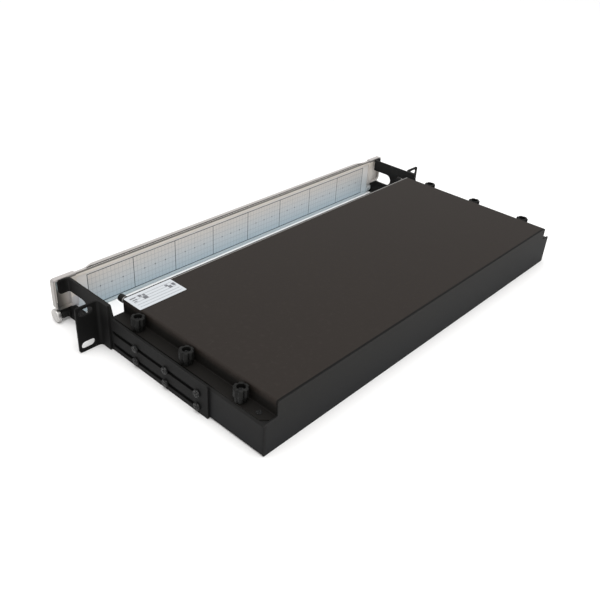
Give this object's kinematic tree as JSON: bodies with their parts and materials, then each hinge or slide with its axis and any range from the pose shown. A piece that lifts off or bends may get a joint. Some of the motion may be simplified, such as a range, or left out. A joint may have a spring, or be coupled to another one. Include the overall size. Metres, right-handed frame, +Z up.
{
  "type": "fibre patch panel",
  "caption": "Rack-mounted fibre patch panel of one rack unit: lift-off cover with thumb screws, sliding rack brackets and a hinged label door across the front.",
  "frame": {"origin": "middle of the four ear slots, in the rear face of the rack ears", "axes": "+X right as seen from the front, +Y to the rear of the panel, +Z up"},
  "size_m": [0.4826, 0.2508, 0.044],
  "materials": {
    "housing_paint": "fine black-brown powder coat",
    "cover_paint": "satin black-brown powder coat",
    "bracket_paint": "matt black powder coat",
    "black_plastic": "moulded, slightly satin",
    "bright_plating": "bright nickel plating",
    "dark_plating": "black zinc plating with worn bright edges",
    "zinc_steel": "zinc plating",
    "door_plastic": "moulded light grey, fine texture",
    "label_paper": "coated paper, printed grid",
    "adapter_plastic": "moulded blue",
    "plug_plastic": "soft white moulding",
    "tray_plastic": "moulded grey",
    "grommet_rubber": "matt rubber"
  },
  "bodies": {
    "brackets": {"bracket_plate_left": "bracket_paint", "bracket_plate_right": "bracket_paint", "rack_ear_left": "bracket_paint", "rack_ear_right": "bracket_paint", "pin_bush_left": "black_plastic", "pin_bush_right": "black_plastic"},
    "cover": {"top_cover": "cover_paint", "locating_pins": "dark_plating"},
    "door": {"door_panel": "door_plastic", "door_end_cap_left": "door_plastic", "door_end_cap_right": "door_plastic", "label_sheet": "label_paper", "catch_magnets": "bright_plating"},
    "pin_left": {"hinge_pin_left": "bright_plating"},
    "pin_right": {"hinge_pin_right": "bright_plating"},
    "front_screw_left": {"front_knob_left": "black_plastic", "front_stud_left": "bright_plating"},
    "front_screw_right": {"front_knob_right": "black_plastic", "front_stud_right": "bright_plating"},
    "thumb_screw_left_1": {"thumb_knob_left_1": "black_plastic", "thumb_stud_left_1": "bright_plating"},
    "thumb_screw_left_2": {"thumb_knob_left_2": "black_plastic", "thumb_stud_left_2": "bright_plating"},
    "thumb_screw_left_3": {"thumb_knob_left_3": "black_plastic", "thumb_stud_left_3": "bright_plating"},
    "thumb_screw_right_1": {"thumb_knob_right_1": "black_plastic", "thumb_stud_right_1": "bright_plating"},
    "thumb_screw_right_2": {"thumb_knob_right_2": "black_plastic", "thumb_stud_right_2": "bright_plating"},
    "thumb_screw_right_3": {"thumb_knob_right_3": "black_plastic", "thumb_stud_right_3": "bright_plating"},
    "housing": {"adapters_1": "adapter_plastic", "adapters_2": "adapter_plastic", "adapters_3": "adapter_plastic", "adapters_4": "adapter_plastic", "adapters_5": "adapter_plastic", "adapters_6": "adapter_plastic", "adapters_7": "adapter_plastic", "adapters_8": "adapter_plastic", "base_tray": "housing_paint", "cable_clamp": "housing_paint", "cable_grommet": "grommet_rubber", "dust_plugs": "plug_plastic", "fibre_guides": "tray_plastic", "front_panel": "housing_paint", "press_nuts_left": "zinc_steel", "press_nuts_right": "zinc_steel", "rack_screws_left": "dark_plating", "rack_screws_right": "dark_plating", "splice_combs": "tray_plastic", "splice_tray_1": "tray_plastic", "splice_tray_2": "tray_plastic", "splice_tray_3": "tray_plastic", "splice_tray_4": "tray_plastic", "tray_posts": "zinc_steel"}
  },
  "joints": [
    {"name": "housing_slide", "type": "slide", "parent": "brackets", "child": "housing", "axis": [0, 1, 0], "range_m": [-0.0294, 0]},
    {"name": "cover_lift", "type": "slide", "parent": "housing", "child": "cover", "axis": [0, 0, 1], "range_m": [0, 0.04]},
    {"name": "door_hinge", "type": "hinge", "parent": "brackets", "child": "door", "pos_m": [0, -0.054, -0.0154], "axis": [1, 0, 0], "range_deg": [0, 90]},
    {"name": "hinge_pin_right_pull", "type": "slide", "parent": "brackets", "child": "pin_right", "axis": [1, 0, 0], "range_m": [0, 0.007], "stiffness_N_per_m": 800},
    {"name": "hinge_pin_left_pull", "type": "slide", "parent": "brackets", "child": "pin_left", "axis": [-1, 0, 0], "range_m": [0, 0.007], "stiffness_N_per_m": 800},
    {"name": "thumb_screw_left_1_turn", "type": "hinge", "parent": "cover", "child": "thumb_screw_left_1", "pos_m": [-0.2096, 0.04, 0.0084], "axis": [0, 0, 1], "continuous": true},
    {"name": "thumb_screw_left_2_turn", "type": "hinge", "parent": "cover", "child": "thumb_screw_left_2", "pos_m": [-0.2096, 0.1, 0.0084], "axis": [0, 0, 1], "continuous": true},
    {"name": "thumb_screw_left_3_turn", "type": "hinge", "parent": "cover", "child": "thumb_screw_left_3", "pos_m": [-0.2096, 0.16, 0.0084], "axis": [0, 0, 1], "continuous": true},
    {"name": "thumb_screw_right_1_turn", "type": "hinge", "parent": "cover", "child": "thumb_screw_right_1", "pos_m": [0.2096, 0.04, 0.0084], "axis": [0, 0, 1], "continuous": true},
    {"name": "thumb_screw_right_2_turn", "type": "hinge", "parent": "cover", "child": "thumb_screw_right_2", "pos_m": [0.2096, 0.1, 0.0084], "axis": [0, 0, 1], "continuous": true},
    {"name": "thumb_screw_right_3_turn", "type": "hinge", "parent": "cover", "child": "thumb_screw_right_3", "pos_m": [0.2096, 0.16, 0.0084], "axis": [0, 0, 1], "continuous": true},
    {"name": "front_screw_left_turn", "type": "hinge", "parent": "housing", "child": "front_screw_left", "pos_m": [-0.1986, 0.0105, 0.0164], "axis": [0, 1, 0], "continuous": true},
    {"name": "front_screw_right_turn", "type": "hinge", "parent": "housing", "child": "front_screw_right", "pos_m": [0.1986, 0.0105, 0.0164], "axis": [0, 1, 0], "continuous": true}
  ]
}
